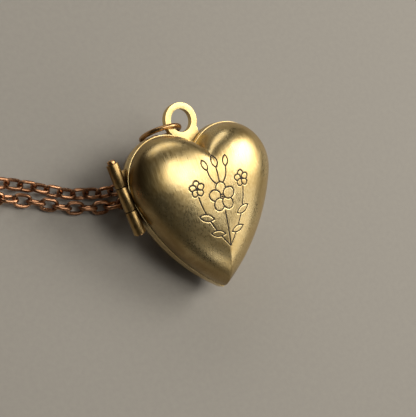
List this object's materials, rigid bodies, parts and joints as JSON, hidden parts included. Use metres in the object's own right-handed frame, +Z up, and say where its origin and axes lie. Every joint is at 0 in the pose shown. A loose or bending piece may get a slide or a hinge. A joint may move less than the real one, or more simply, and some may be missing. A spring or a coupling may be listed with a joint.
{
  "type": "locket",
  "caption": "Heart locket with two domed halves hinged on the left flank, photo frames inside, a bail and jump ring, and a cable chain with a spring-ring clasp.",
  "frame": {"origin": "on the surface the locket lies on, under the middle of the locket's own footprint, without the chain", "axes": "+Z up; +Y from the heart's tip towards its bail; +X to the right of the heart as its front is seen, so the hinge is on the -X side"},
  "size_m": [0.0687, 0.0298, 0.0115],
  "materials": {
    "satin_brass": "satin, brushed and aged",
    "worn_brass": "worn, semi-polished",
    "inner_brass": "semi-bright",
    "copper_chain": "antique copper",
    "copper_wire": "antique brass wire",
    "clasp_brass": "antique brass",
    "spring_steel": "fine wire",
    "photo_card": "blank card",
    "clear_window": "clear film"
  },
  "bodies": {
    "chain": {"jump_ring": "copper_wire", "chain_strand_a": "copper_chain", "chain_strand_b": "copper_chain", "chain_coil": "copper_chain", "clasp_body": "clasp_brass", "clasp_spring": "spring_steel", "clasp_ring": "clasp_brass", "end_tab": "clasp_brass", "end_tab_ring": "clasp_brass"},
    "locket_back": {"back_cover": "satin_brass", "back_rim": "satin_brass", "closing_lip": "worn_brass", "catch_nib": "worn_brass", "back_tray": "inner_brass", "back_photo": "photo_card", "back_window": "clear_window", "back_bezel": "inner_brass", "upper_knuckle": "worn_brass", "lower_knuckle": "worn_brass", "hinge_pin": "worn_brass", "bail": "worn_brass"},
    "locket_front": {"front_cover": "satin_brass", "front_rim": "satin_brass", "front_tray": "inner_brass", "front_photo": "photo_card", "front_window": "clear_window", "front_bezel": "inner_brass", "middle_knuckle": "worn_brass"},
    "clasp_bolt": {"clasp_bolt": "clasp_brass"}
  },
  "joints": [
    {"name": "locket_swing", "type": "hinge", "parent": "chain", "child": "locket_back", "pos_m": [0.00015, 0.0086, 0.00785], "axis": [-1, 0, 0], "range_deg": [0, 26]},
    {"name": "cover_hinge", "type": "hinge", "parent": "locket_back", "child": "locket_front", "pos_m": [-0.00925, 0.00159, 0.00639], "axis": [0.1857, -0.9491, -0.2543], "range_deg": [0, 135]},
    {"name": "clasp_bolt_slide", "type": "hinge", "parent": "chain", "child": "clasp_bolt", "pos_m": [-0.0436, 0.0015, 0.00065], "axis": [0, 0, -1], "range_deg": [0, 52], "stiffness_Nm_per_rad": 0.000002, "springref_deg": -11.46, "deforming": ["clasp_spring"]}
  ]
}
